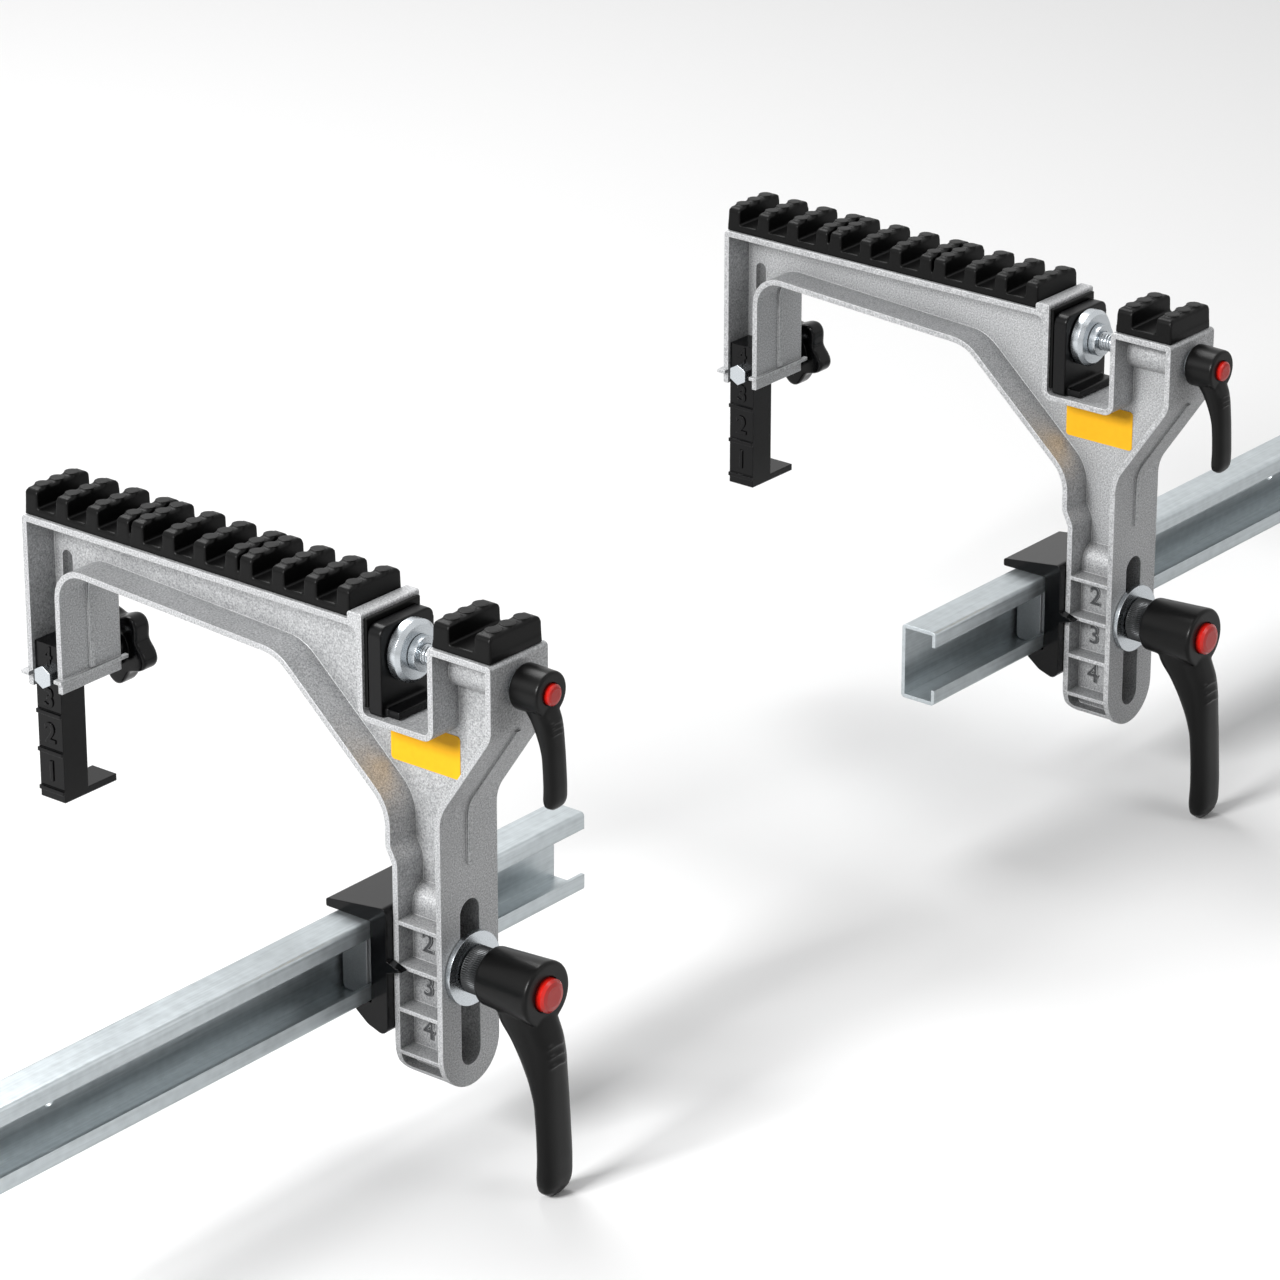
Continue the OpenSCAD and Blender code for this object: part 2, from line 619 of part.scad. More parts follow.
module clamp_stud() color("lightgray") {
    stud_back = nut_front + nut_d - 2.5;
    stud_front = washer_front - slide_gap - collar_l(big_lever) - core_l(big_lever) / 2;
    along_y(clamp_d, stud_back, stud_back - stud_front);
}

module clamp_washer() color("lightgray") difference() {
    along_y(washer_d, washer_back, washer_t);
    along_y(clamp_d + 2 * slide_gap, washer_back + 1, washer_t + 2);
}

// Back foot
module foot_column() color("black") above_bench() difference() {
    translate([foot_x - foot_w, leg_mid - foot_w / 2, 0]) {
        cube([foot_w, foot_w, foot_h]);
        cube([foot_w - foot_x + foot_reach, foot_w, foot_t]);
        // Scale ridges on the outer face
        for (k = [1:3]) translate([-1.2, 0, foot_bolt_h - k * foot_index - 1]) cube([1.3, foot_w, 2]);
    }
    translate([0, leg_mid, foot_bolt_h])
        along_x(foot_bolt_d + 2 * run_gap, foot_x - foot_w - 1, foot_w + 2);
}

module foot_bolt() color("lightgray") above_bench() translate([0, leg_mid, foot_bolt_h]) {
    head = 0.65 * foot_bolt_d;
    seat = foot_x - foot_w;
    along_x(foot_bolt_d, seat, knob_x + 0.7 * knob_t - seat);
    translate([seat - head, 0, 0]) rotate([0, 90, 0]) cylinder(d = 1.95 * foot_bolt_d, h = head, $fn = 6);
}

module foot_washer() color("lightgray") above_bench() translate([0, leg_mid, foot_bolt_h]) difference() {
    along_x(neck_d - 1, frame_w / 2 + slide_gap, foot_washer_t);
    along_x(foot_bolt_d + 2 * run_gap, frame_w / 2, foot_washer_t + 2);
}

module foot_knob() color("black") above_bench() translate([knob_x, leg_mid, foot_bolt_h]) rotate([0, 90, 0])
difference() {
    union() {
        cylinder(d = neck_d, h = neck_l + 1, $fn = 64);
        intersection() {
            translate([0, 0, neck_l]) linear_extrude(knob_t - neck_l) polygon([for (a = [0:5:355])
                (knob_d / 2 - lobe_h + lobe_h * cos(star_lobes * a)) * [cos(a), sin(a)]]);
            rotate_extrude($fn = 96) polygon([
                [0, 0], [0.42 * knob_d, 0], [knob_d / 2, neck_l + 2], [knob_d / 2, knob_t - 3],
                [0.42 * knob_d, knob_t - 0.6], [0.3 * knob_d, knob_t], [0, knob_t]]);
        }
    }
    translate([0, 0, -1])
        cylinder(d = foot_bolt_d + 2 * run_gap, h = 0.7 * knob_t + 1 + slide_gap, $fn = 48);
}

// C rail from x0 to the right, with two screw holes near its outer end
module rail(x0, holes_x) color("lightsteelblue") difference() {
    translate([x0, 0, 0]) rotate([90, 0, 90]) linear_extrude(rail_len) difference() {
        polygon(rounded([[0, rail_h / 2, rail_t], [-rail_d, rail_h / 2, rail_t],
                         [-rail_d, -rail_h / 2, rail_t], [0, -rail_h / 2, rail_t]]));
        translate([-rail_d + rail_t, -rail_h / 2 + rail_t])
            square([rail_d - 2 * rail_t, rail_h - 2 * rail_t]);
        translate([-rail_d - 1, -rail_h / 2 + rail_lip]) square([rail_t + 2, rail_h - 2 * rail_lip]);
    }
    for (k = [0, 1]) translate([holes_x + k * screw_hole_pitch, 0, 0]) along_y(screw_hole_d, 1, rail_t + 2);
}

function shown(side, name) = node == "all" || node == str(side, "_", name);

for (side = ["left", "right"]) translate([side == "right" ? station_pitch : 0, 0, 0]) {
    if (shown(side, "frame")) frame_casting();
    if (shown(side, "comb_pads")) comb_pads();
    if (shown(side, "front_pad")) front_pad();
    if (shown(side, "jaw_liner")) jaw_liner();
    if (shown(side, "moving_jaw")) moving_jaw();
    if (shown(side, "pressure_disc")) pressure_disc();
    if (shown(side, "spindle_collar")) spindle_collar();
    if (shown(side, "jaw_spindle")) jaw_spindle();
    if (shown(side, "jaw_insert")) jaw_insert();
    if (shown(side, "jaw_lever")) jaw_lever();
    if (shown(side, "jaw_spring")) jaw_spring();
    if (shown(side, "jaw_screw")) jaw_screw();
    if (shown(side, "jaw_button")) jaw_button();
    if (shown(side, "rail_bracket")) rail_bracket();
    if (shown(side, "rail_nut")) rail_nut();
    if (shown(side, "clamp_stud")) clamp_stud();
    if (shown(side, "clamp_washer")) clamp_washer();
    if (shown(side, "clamp_insert")) clamp_insert();
    if (shown(side, "clamp_lever")) clamp_lever();
    if (shown(side, "clamp_spring")) clamp_spring();
    if (shown(side, "clamp_screw")) clamp_screw();
    if (shown(side, "clamp_button")) clamp_button();
    if (shown(side, "foot_column")) foot_column();
    if (shown(side, "foot_bolt")) foot_bolt();
    if (shown(side, "foot_washer")) foot_washer();
    if (shown(side, "foot_knob")) foot_knob();
}
if (shown("left", "rail"))
    rail(left_rail_end - rail_len, left_rail_end - rail_len + screw_hole_inset);
if (shown("right", "rail"))
    rail(station_pitch - right_rail_reach,
         station_pitch - right_rail_reach + rail_len - screw_hole_inset - screw_hole_pitch);
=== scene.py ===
# Ski vise: two holding stations on C rails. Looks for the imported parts, in metres, +Z up, +Y over the bench
import math
import bpy
import bmesh
import numpy as np
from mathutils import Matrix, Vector


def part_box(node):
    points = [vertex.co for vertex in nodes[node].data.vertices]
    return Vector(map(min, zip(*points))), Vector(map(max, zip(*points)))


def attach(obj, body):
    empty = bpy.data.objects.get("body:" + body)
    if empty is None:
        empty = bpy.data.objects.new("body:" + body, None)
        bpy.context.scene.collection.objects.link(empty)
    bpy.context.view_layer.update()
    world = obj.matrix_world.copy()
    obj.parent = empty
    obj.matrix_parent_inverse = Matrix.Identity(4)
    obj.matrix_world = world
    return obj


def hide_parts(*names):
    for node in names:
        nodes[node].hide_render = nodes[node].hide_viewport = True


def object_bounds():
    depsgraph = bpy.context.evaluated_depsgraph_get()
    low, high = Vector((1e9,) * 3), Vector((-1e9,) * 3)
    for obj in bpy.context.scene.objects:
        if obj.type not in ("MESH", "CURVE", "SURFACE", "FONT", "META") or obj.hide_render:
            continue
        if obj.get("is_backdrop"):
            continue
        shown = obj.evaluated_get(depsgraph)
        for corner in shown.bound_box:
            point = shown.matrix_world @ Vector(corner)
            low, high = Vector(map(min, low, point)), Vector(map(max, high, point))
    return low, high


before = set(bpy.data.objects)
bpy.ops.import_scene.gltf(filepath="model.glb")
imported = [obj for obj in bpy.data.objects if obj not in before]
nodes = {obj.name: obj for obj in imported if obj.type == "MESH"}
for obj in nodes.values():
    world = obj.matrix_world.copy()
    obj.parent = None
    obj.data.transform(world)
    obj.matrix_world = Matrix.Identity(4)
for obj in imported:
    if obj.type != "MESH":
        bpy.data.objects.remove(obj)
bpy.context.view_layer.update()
scene = bpy.context.scene
mm = 0.001
sides = ("left", "right")
print("stage 1: parts loaded,", len(nodes), "nodes")


# Node helpers
def hexColour(text):
    # sRGB hex to linear RGBA: each channel through the sRGB curve
    values = [int(text[i:i + 2], 16) / 255 for i in (1, 3, 5)]
    return tuple(c / 12.92 if c <= 0.04045 else ((c + 0.055) / 1.055) ** 2.4 for c in values) + (1.0,)


def addNode(tree, kind, settings=None, links=None):
    # Adds a node, sets its attributes or sockets, and links {input: output socket}
    node = tree.nodes.new(kind)
    for key, value in (settings or {}).items():
        if isinstance(key, str) and hasattr(node, key):
            setattr(node, key, value)
        else:
            node.inputs[key].default_value = value
    for key, source in (links or {}).items():
        tree.links.new(source, node.inputs[key])
    return node


def backgroundRays(tree):
    # 1 for every ray that looks at the background: from the camera, off gloss and through glass
    path = addNode(tree, "ShaderNodeLightPath")
    direct = addNode(tree, "ShaderNodeMath", {"operation": "MAXIMUM"},
                     {0: path.outputs["Is Camera Ray"], 1: path.outputs["Is Glossy Ray"]})
    every = addNode(tree, "ShaderNodeMath", {"operation": "MAXIMUM"},
                    {0: direct.outputs[0], 1: path.outputs["Is Transmission Ray"]})
    return every.outputs[0]


# Camera and light
camera = {
    "place": (-1.7545, -1.5735, 1.1340),  # metres
    "heading": 51.144,                     # degrees from +Y towards +X
    "pitch": 22.756,                       # degrees down
    "focalPixels": 5607.9,                 # in the 1280 pixel frame
    "framePixels": 1280.0,
    "sensor": 36.0,                        # mm
    "clipEnd": 20.0,
}


def addAimed(obj, direction):
    # Adds a camera or lamp to the scene, turned so that its -Z looks along the direction, with +Y up
    obj.rotation_mode = "QUATERNION"
    obj.rotation_quaternion = direction.to_track_quat("-Z", "Y")
    scene.collection.objects.link(obj)


def addCamera(v):
    az, pitch = math.radians(v["heading"]), math.radians(v["pitch"])
    forward = Vector((math.sin(az) * math.cos(pitch), math.cos(az) * math.cos(pitch), -math.sin(pitch)))
    data = bpy.data.cameras.new("camera")
    data.sensor_width = v["sensor"]
    data.lens = v["sensor"] * v["focalPixels"] / v["framePixels"]
    data.clip_end = v["clipEnd"]
    obj = bpy.data.objects.new("camera", data)
    obj.location = v["place"]
    addAimed(obj, forward)
    scene.camera = obj


light = {
    "target": (0.27, 0.05, 0.05),
    "worldLit": 0.24,   # strength of the light that falls on the object
    "worldSeen": 1.0,   # strength that the eye and gloss see: white
    "lamps": {
        "key": {"place": (-2.4, 0.3, 1.6), "size": 0.9, "watts": 100},
        "fill": {"place": (0.9, -2.1, 1.3), "size": 1.0, "watts": 6},
        "back": {"place": (0.7, 1.5, 2.3), "size": 1.4, "watts": 44},
    },
}


def addLights(v):
    for name, lamp in v["lamps"].items():
        data = bpy.data.lights.new(name, "AREA")
        data.energy = lamp["watts"]
        data.size = lamp["size"]
        obj = bpy.data.objects.new(name, data)
        obj.location = lamp["place"]
        addAimed(obj, Vector(v["target"]) - obj.location)
    world = bpy.data.worlds.new("studio")
    scene.world = world
    world.use_nodes = True
    tree = world.node_tree
    tree.nodes.clear()
    white = hexColour("#ffffff")
    lit = addNode(tree, "ShaderNodeBackground", {"Color": white, "Strength": v["worldLit"]})
    seen = addNode(tree, "ShaderNodeBackground", {"Color": white, "Strength": v["worldSeen"]})
    mix = addNode(tree, "ShaderNodeMixShader", {},
                  {0: backgroundRays(tree), 1: lit.outputs[0], 2: seen.outputs[0]})
    addNode(tree, "ShaderNodeOutputWorld", {}, {"Surface": mix.outputs[0]})


addCamera(camera)
addLights(light)
scene.view_settings.view_transform = "Standard"
print("stage 2: camera and lights")


# Materials: patterns in mm on Object coordinates. "edge" is the radius that the edges seem to have, "relief"
# and "depth" are the strength and height of the bump
def newMaterial(name):
    mat = bpy.data.materials.new(name)
    mat.use_nodes = True
    tree = mat.node_tree
    tree.nodes.clear()
    shader = addNode(tree, "ShaderNodeBsdfPrincipled")
    addNode(tree, "ShaderNodeOutputMaterial", {}, {"Surface": shader.outputs[0]})
    place = addNode(tree, "ShaderNodeTexCoord").outputs["Object"]
    return mat, tree, shader, place


def setRamp(ramp, stops):
    # (position, hex colour) for each stop of a colour ramp
    for element, (position, colour) in zip(ramp.color_ramp.elements, stops):
        element.position = position
        element.color = hexColour(colour)


def finishNormal(tree, shader, height, v):
    # The surface's normal with its edges rounded, and the height's relief on top
    bevel = addNode(tree, "ShaderNodeBevel", {"samples": 6, "Radius": v["edge"]})
    bump = addNode(tree, "ShaderNodeBump", {"Strength": v["relief"], "Distance": v["depth"]},
                   {"Height": height, "Normal": bevel.outputs[0]})
    tree.links.new(bump.outputs[0], shader.inputs["Normal"])
    return bevel.outputs[0]


casting = {
    "grain": 0.8 * mm,  # the blasted grain is nearer 0.3 mm, and is drawn coarser so that it shows
    "dark": "#9b9c9e", "pale": "#dfe0e1", "grainFrom": 0.3, "grainTo": 0.7,
    "cloud": 28 * mm, "cloudShare": 0.2,
    # recess: reach of the painted shade in recesses, recessShade: the darkest share of the colour that it
    # leaves
    "recess": 18 * mm, "recessShade": 0.52,
    "recessFrom": 0.35, "recessTo": 0.8,  # openness where the recess is darkest, and where it ends
    "highlightColour": "#e6e8e8", "highlightShare": 0.5, "rimFrom": 1.0, "rimTo": 0.93,  # match of the two normals
    "metallic": 0.35, "faceRoughness": 0.55, "rimRoughness": 0.38,
    "edge": 0.6 * mm, "relief": 0.35, "depth": 0.2 * mm,
}
# The figures of the stem's scale: the same casting, darkened all over as painted shade so that the figures
# stand out
castingFiguresShaded = {**casting, "dark": "#3c3d3f", "pale": "#58595b", "recessShade": 0.9}


def castAluminium(name, v):
    # Die-cast aluminium, shot blasted: a sandy pale grain, edges glossier and lifted by a painted highlight,
    # recesses darkened by painted shade
    mat, tree, shader, place = newMaterial(name)
    grain = addNode(tree, "ShaderNodeTexNoise", {"Scale": 1 / v["grain"], "Detail": 2.0, "Roughness": 0.5},
                    {"Vector": place})
    cloud = addNode(tree, "ShaderNodeTexNoise", {"Scale": 1 / v["cloud"], "Detail": 2.0}, {"Vector": place})
    tone = addNode(tree, "ShaderNodeValToRGB", {}, {"Fac": grain.outputs["Fac"]})
    setRamp(tone, [(v["grainFrom"], v["dark"]), (v["grainTo"], v["pale"])])
    shade = addNode(tree, "ShaderNodeMix",
                    {"data_type": "RGBA", "blend_type": "MULTIPLY", 0: v["cloudShare"]},
                    {6: tone.outputs[0], 7: cloud.outputs["Fac"]})
    # Painted shade: ambient occlusion within the part darkens the base colour in recesses, corners and
    # creases
    openness = addNode(tree, "ShaderNodeAmbientOcclusion",
                       {"samples": 6, "only_local": True, "Distance": v["recess"]})
    dull = addNode(tree, "ShaderNodeMapRange",
                   {"From Min": v["recessFrom"], "From Max": v["recessTo"], "To Min": v["recessShade"]},
                   {"Value": openness.outputs["AO"]})
    sunk = addNode(tree, "ShaderNodeVectorMath", {"operation": "SCALE"},
                   {0: shade.outputs[2], "Scale": dull.outputs[0]})
    rounded = finishNormal(tree, shader, grain.outputs["Fac"], v)
    # How far the rounded normal leaves the flat one: 0 on faces, up to 1 on outer and inner edges
    flat = addNode(tree, "ShaderNodeNewGeometry")
    match = addNode(tree, "ShaderNodeVectorMath", {"operation": "DOT_PRODUCT"},
                    {0: rounded, 1: flat.outputs["True Normal"]})
    rim = addNode(tree, "ShaderNodeMapRange", {"From Min": v["rimFrom"], "From Max": v["rimTo"]},
                  {"Value": match.outputs["Value"]})
    # Painted highlight: along outer and inner edges alike the colour is lifted towards a pale tone
    paintedHighlight = addNode(tree, "ShaderNodeMath", {"operation": "MULTIPLY", 1: v["highlightShare"]}, {0: rim.outputs[0]})
    highlitAndShaded = addNode(tree, "ShaderNodeMix", {"data_type": "RGBA", 7: hexColour(v["highlightColour"])},
                     {0: paintedHighlight.outputs[0], 6: sunk.outputs[0]})
    gloss = addNode(tree, "ShaderNodeMapRange", {"To Min": v["faceRoughness"], "To Max": v["rimRoughness"]},
                    {"Value": rim.outputs[0]})
    tree.links.new(highlitAndShaded.outputs[2], shader.inputs["Base Color"])
    tree.links.new(gloss.outputs[0], shader.inputs["Roughness"])
    shader.inputs["Metallic"].default_value = v["metallic"]
    return mat


rubberFinish = {
    "grain": 0.7 * mm,  # the mould's texture is nearer 0.3 mm, and is drawn coarser so that it shows
    "dark": "#030303", "pale": "#0a0a0a", "roughness": 0.36, "specular": 0.13,
    "edge": 0.5 * mm, "relief": 0.18, "depth": 0.12 * mm,
}


def mouldedRubber(v):
    # Black rubber from a lightly textured mould: deep black, a soft sheen along the rounded edges
    mat, tree, shader, place = newMaterial("rubber_moulded_matte")
    grain = addNode(tree, "ShaderNodeTexNoise", {"Scale": 1 / v["grain"], "Detail": 2.0}, {"Vector": place})
    tone = addNode(tree, "ShaderNodeValToRGB", {}, {"Fac": grain.outputs["Fac"]})
    setRamp(tone, [(0.0, v["dark"]), (1.0, v["pale"])])
    tree.links.new(tone.outputs[0], shader.inputs["Base Color"])
    shader.inputs["Roughness"].default_value = v["roughness"]
    shader.inputs["Specular IOR Level"].default_value = v["specular"]
    finishNormal(tree, shader, grain.outputs["Fac"], v)
    return mat


# Glass-filled nylon moulded in a polished tool: deep black with soft highlights and a faint ripple
nylonGloss = {"colour": "#050506", "roughness": 0.2, "spread": 0.15, "specular": 0.18,
              "ripple": 2.5 * mm, "edge": 0.6 * mm, "relief": 0.1, "depth": 0.1 * mm}
# The same nylon from a lightly etched tool: black, satin. The tool's texture is nearer 0.3 mm, and is drawn
# coarser so that it shows
nylonSatin = {"colour": "#060607", "roughness": 0.3, "spread": 0.15, "specular": 0.18,
              "ripple": 0.8 * mm, "edge": 0.6 * mm, "relief": 0.15, "depth": 0.1 * mm}
# Die-cast zinc with a fine-textured black powder coat: satin, with broad soft highlights. The coat's texture
# is nearer 0.3 mm, and is drawn coarser too
powderCoat = {"colour": "#080808", "roughness": 0.3, "spread": 0.15, "specular": 0.18,
              "ripple": 0.6 * mm, "edge": 0.6 * mm, "relief": 0.12, "depth": 0.1 * mm}


def blackSkin(name, v):
    # Even black whose roughness wavers, by the spread, with the ripple that also lifts the surface
    mat, tree, shader, place = newMaterial(name)
    ripple = addNode(tree, "ShaderNodeTexNoise", {"Scale": 1 / v["ripple"], "Detail": 2.0}, {"Vector": place})
    low, high = v["roughness"] * (1 - v["spread"]), v["roughness"] * (1 + v["spread"])
    gloss = addNode(tree, "ShaderNodeMapRange", {"To Min": low, "To Max": high},
                    {"Value": ripple.outputs["Fac"]})
    tree.links.new(gloss.outputs[0], shader.inputs["Roughness"])
    shader.inputs["Base Color"].default_value = hexColour(v["colour"])
    shader.inputs["Specular IOR Level"].default_value = v["specular"]
    finishNormal(tree, shader, ripple.outputs["Fac"], v)
    return mat


nutFinish = {
    "grain": 0.8 * mm,  # the sandy skin is nearer 0.3 mm, and is drawn coarser so that it shows
    "dark": "#8b8d8f", "pale": "#a9abad", "metallic": 0.7, "roughness": 0.5,
    "edge": 0.6 * mm, "relief": 0.2, "depth": 0.1 * mm,
}


def castNut(v):
    # Die-cast zinc nut, as cast: dull mid grey with a fine sandy skin
    mat, tree, shader, place = newMaterial("zinc_cast_dull")
    grain = addNode(tree, "ShaderNodeTexNoise", {"Scale": 1 / v["grain"], "Detail": 2.0}, {"Vector": place})
    tone = addNode(tree, "ShaderNodeMix",
                   {"data_type": "RGBA", 6: hexColour(v["dark"]), 7: hexColour(v["pale"])},
                   {0: grain.outputs["Fac"]})
    tree.links.new(tone.outputs[2], shader.inputs["Base Color"])
    shader.inputs["Metallic"].default_value = v["metallic"]
    shader.inputs["Roughness"].default_value = v["roughness"]
    finishNormal(tree, shader, grain.outputs["Fac"], v)
    return mat


zincFinish = {
    "marks": 0.5 * mm,  # turning marks are nearer 0.1 mm, and are drawn coarser so that they show
    "colour": "#bfc4c8", "polished": 0.2, "dull": 0.34,
    "edge": 0.35 * mm, "relief": 0.05, "depth": 0.05 * mm,
}


def zincPlated(v):
    # Steel with bright zinc plating: clear reflections broken by fine turning marks
    mat, tree, shader, place = newMaterial("steel_bright_zinc")
    marks = addNode(tree, "ShaderNodeTexNoise", {"Scale": 1 / v["marks"], "Detail": 2.0}, {"Vector": place})
    gloss = addNode(tree, "ShaderNodeMapRange", {"To Min": v["polished"], "To Max": v["dull"]},
                    {"Value": marks.outputs["Fac"]})
    tree.links.new(gloss.outputs[0], shader.inputs["Roughness"])
    shader.inputs["Base Color"].default_value = hexColour(v["colour"])
    shader.inputs["Metallic"].default_value = 1.0
    finishNormal(tree, shader, marks.outputs["Fac"], v)
    return mat


oxideFinish = {
    "marks": 0.4 * mm,  # turning marks again, drawn coarser so that they show
    "colour": "#3c3d3e", "polished": 0.26, "dull": 0.4,
}


def blackenedSteel(v):
    # Turned steel, black oxide finish: dark with a metallic sheen on every spline
    mat, tree, shader, place = newMaterial("steel_black_oxide")
    marks = addNode(tree, "ShaderNodeTexNoise", {"Scale": 1 / v["marks"], "Detail": 2.0}, {"Vector": place})
    gloss = addNode(tree, "ShaderNodeMapRange", {"To Min": v["polished"], "To Max": v["dull"]},
                    {"Value": marks.outputs["Fac"]})
    tree.links.new(gloss.outputs[0], shader.inputs["Roughness"])
    shader.inputs["Base Color"].default_value = hexColour(v["colour"])
    shader.inputs["Metallic"].default_value = 1.0
    return mat


stripFinish = {
    "spangle": 5 * mm,
    "lines": 1.2 * mm,  # rolling lines are nearer 0.2 mm, and are drawn coarser so that they show
    "stretch": 0.02, "linesShare": 0.75,
    "dark": "#aeb5b8", "pale": "#c8cfd2", "toneFrom": 0.25, "toneTo": 0.75,
    "metallic": 0.85, "polished": 0.26, "dull": 0.42, "edge": 0.5 * mm,
}


def galvanisedSheet(v):
    # Roll-formed strip, hot-dip galvanised before forming: bluish grey with a faint spangle and rolling lines
    mat, tree, shader, place = newMaterial("steel_galvanised_strip")
    spangle = addNode(tree, "ShaderNodeTexVoronoi", {"Scale": 1 / v["spangle"]}, {"Vector": place})
    along = addNode(tree, "ShaderNodeMapping", {"Scale": (v["stretch"], 1.0, 1.0)}, {"Vector": place})
    lines = addNode(tree, "ShaderNodeTexNoise", {"Scale": 1 / v["lines"], "Detail": 3.0},
                    {"Vector": along.outputs[0]})
    blend = addNode(tree, "ShaderNodeMix", {"data_type": "FLOAT", 0: v["linesShare"]},
                    {2: spangle.outputs["Distance"], 3: lines.outputs["Fac"]})
    tone = addNode(tree, "ShaderNodeValToRGB", {}, {"Fac": blend.outputs[0]})
    setRamp(tone, [(v["toneFrom"], v["dark"]), (v["toneTo"], v["pale"])])
    gloss = addNode(tree, "ShaderNodeMapRange", {"To Min": v["polished"], "To Max": v["dull"]},
                    {"Value": blend.outputs[0]})
    bevel = addNode(tree, "ShaderNodeBevel", {"samples": 6, "Radius": v["edge"]})
    tree.links.new(tone.outputs[0], shader.inputs["Base Color"])
    tree.links.new(gloss.outputs[0], shader.inputs["Roughness"])
    tree.links.new(bevel.outputs[0], shader.inputs["Normal"])
    shader.inputs["Metallic"].default_value = v["metallic"]
    return mat


# ABS moulded in a polished tool: saturated red, glossy
absFinish = {"cloud": 6 * mm, "dark": "#d8160f", "pale": "#e3251a", "roughness": 0.22}
# Cast vinyl film with a satin laminate: even golden yellow
vinylFinish = {"cloud": 3 * mm, "dark": "#f7b500", "pale": "#fdbe08", "roughness": 0.65}


def cloudedPlastic(name, v):
    # Two close tones mixed by a soft cloud
    mat, tree, shader, place = newMaterial(name)
    soft = addNode(tree, "ShaderNodeTexNoise", {"Scale": 1 / v["cloud"], "Detail": 1.0}, {"Vector": place})
    tone = addNode(tree, "ShaderNodeMix",
                   {"data_type": "RGBA", 6: hexColour(v["dark"]), 7: hexColour(v["pale"])},
                   {0: soft.outputs["Fac"]})
    tree.links.new(tone.outputs[2], shader.inputs["Base Color"])
    shader.inputs["Roughness"].default_value = v["roughness"]
    return mat


aluminium = castAluminium("aluminium_blasted_casting", casting)
aluminiumFiguresShaded = castAluminium("aluminium_cast_numeral", castingFiguresShaded)
nutMetal = castNut(nutFinish)
rubber = mouldedRubber(rubberFinish)
zinc = zincPlated(zincFinish)
blackened = blackenedSteel(oxideFinish)
galvanised = galvanisedSheet(stripFinish)
blackNylon = blackSkin("nylon_black_gloss", nylonGloss)
jawNylon = blackSkin("nylon_black_satin", nylonSatin)
leverPaint = blackSkin("zinc_black_powder_coat", powderCoat)
red = cloudedPlastic("abs_red_polished", absFinish)
yellow = cloudedPlastic("vinyl_film_yellow", vinylFinish)

nodeMaterials = {
    "frame": aluminium, "comb_pads": rubber, "front_pad": rubber, "jaw_liner": rubber, "moving_jaw": jawNylon,
    "pressure_disc": zinc, "spindle_collar": zinc, "jaw_spindle": zinc, "jaw_insert": zinc,
    "jaw_lever": leverPaint, "jaw_spring": zinc, "jaw_screw": zinc, "jaw_button": red,
    "rail_bracket": blackNylon, "rail_nut": nutMetal, "clamp_stud": zinc, "clamp_washer": zinc,
    "clamp_insert": zinc, "clamp_lever": leverPaint, "clamp_spring": zinc, "clamp_screw": zinc,
    "clamp_button": red, "foot_column": blackNylon, "foot_bolt": zinc, "foot_washer": zinc,
    "foot_knob": blackNylon, "rail": galvanised,
}
for name, node in nodes.items():
    node.data.materials.clear()
    node.data.materials.append(nodeMaterials[name.split("_", 1)[1]])
print("stage 3: materials")


# Shared mesh makers
def makeMesh(name, points, faces, material, smooth=True):
    # An object from its points, faces and material
    mesh = bpy.data.meshes.new(name)
    mesh.from_pydata(np.asarray(points, float).tolist(), [], [tuple(int(i) for i in f) for f in faces])
    mesh.polygons.foreach_set("use_smooth", np.full(len(mesh.polygons), smooth))
    mesh.materials.append(material)
    mesh.update()
    obj = bpy.data.objects.new(name, mesh)
    scene.collection.objects.link(obj)
    return obj


def meshPoints(mesh):
    # Every point of a mesh, as rows of x, y and z
    points = np.empty(len(mesh.vertices) * 3)
    mesh.vertices.foreach_get("co", points)
    return points.reshape(-1, 3)


def turnAngles(count):
    # Angles spread evenly round one turn
    return np.linspace(0, 2 * math.pi, count, endpoint=False)


def closedGrid(points):
    # A grid of rings (rows, columns, 3) that close on themselves: each quad joins a point, its neighbour and
    # the two below, and a fan closes each end to the middle of its ring
    rows, columns = points.shape[:2]
    flat = points.reshape(-1, 3)
    row = columns * np.arange(rows - 1)[:, None]
    k = np.arange(columns)
    n = (k + 1) % columns
    quads = np.stack([row + k, row + n, row + columns + n, row + columns + k], -1)
    faces = quads.reshape(-1, 4).tolist()
    ends = np.array([points[0].mean(0), points[-1].mean(0)])
    top, bottom = np.full(columns, len(flat)), np.full(columns, len(flat) + 1)
    last = (rows - 1) * columns
    faces += np.stack([n, k, top], -1).tolist()
    faces += np.stack([k + last, n + last, bottom], -1).tolist()
    return np.vstack([flat, ends]), faces


def outward(obj):
    # Doubles merged, then normals recalculated so that they point outwards
    bm = bmesh.new()
    bm.from_mesh(obj.data)
    bmesh.ops.remove_doubles(bm, verts=bm.verts, dist=1e-7)
    bmesh.ops.recalc_face_normals(bm, faces=bm.faces)
    bm.to_mesh(obj.data)
    bm.free()


def joined(name, parts, material):
    # Several (points, faces) shells in one mesh
    points, faces, first = [], [], 0
    for p, f in parts:
        points.append(np.asarray(p, float))
        faces += [[i + first for i in face] for face in f]
        first += len(p)
    obj = makeMesh(name, np.vstack(points), faces, material)
    outward(obj)
    return obj


def melted(obj, voxel, smoothing):
    # The mesh in even voxels, if asked, then relaxed: each point moves halfway to its neighbours' mean
    if voxel:
        remesh = obj.modifiers.new("remesh", "REMESH")
        remesh.mode = "VOXEL"
        remesh.voxel_size = voxel
    relax = obj.modifiers.new("smooth", "SMOOTH")
    relax.factor = 0.5
    relax.iterations = smoothing
    graph = bpy.context.evaluated_depsgraph_get()
    mesh = bpy.data.meshes.new_from_object(obj.evaluated_get(graph))
    obj.modifiers.clear()
    old = obj.data
    obj.data = mesh
    bpy.data.meshes.remove(old)
    mesh.polygons.foreach_set("use_smooth", np.ones(len(mesh.polygons), bool))


